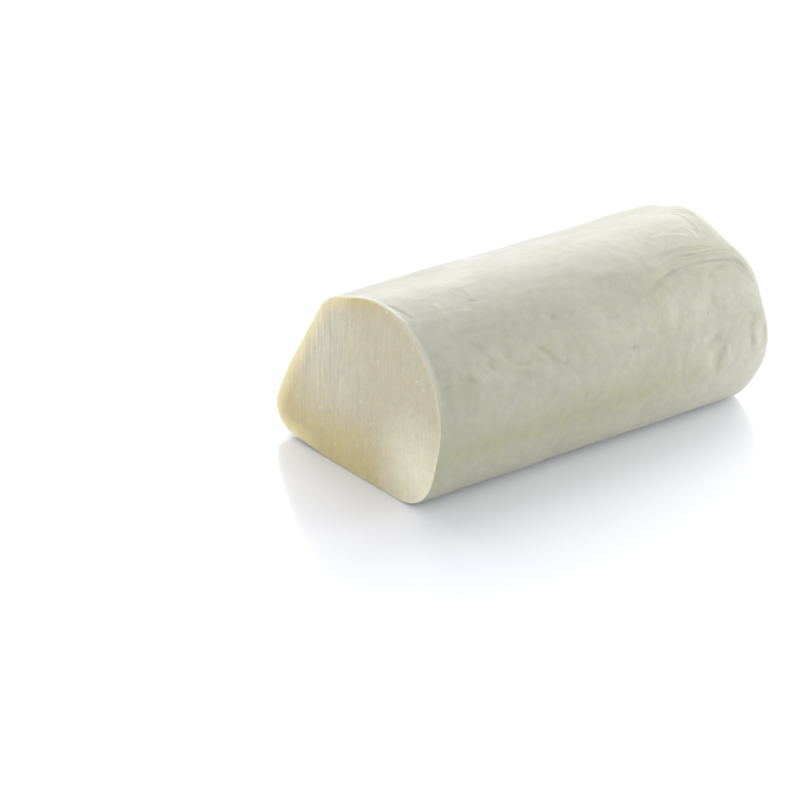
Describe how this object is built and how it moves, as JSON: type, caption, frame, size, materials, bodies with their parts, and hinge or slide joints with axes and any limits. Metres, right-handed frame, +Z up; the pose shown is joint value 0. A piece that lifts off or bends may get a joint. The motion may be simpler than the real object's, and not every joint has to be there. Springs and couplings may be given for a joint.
{
  "type": "mozzarella log",
  "caption": "Fresh mozzarella log slumped on its belly, cut square at one end and folded shut at the other.",
  "frame": {"origin": "under the middle of the log's bounding box, on the surface that the belly lies on", "axes": "+Z up, +X along the log from the cut face towards the closed end, +Y towards the foot that sagged out"},
  "size_m": [0.1624, 0.1018, 0.0725],
  "materials": {
    "fresh_cheese": "moist satin, slightly translucent white curd"
  },
  "bodies": {
    "root": {"mozzarella_log": "fresh_cheese"}
  },
  "joints": []
}
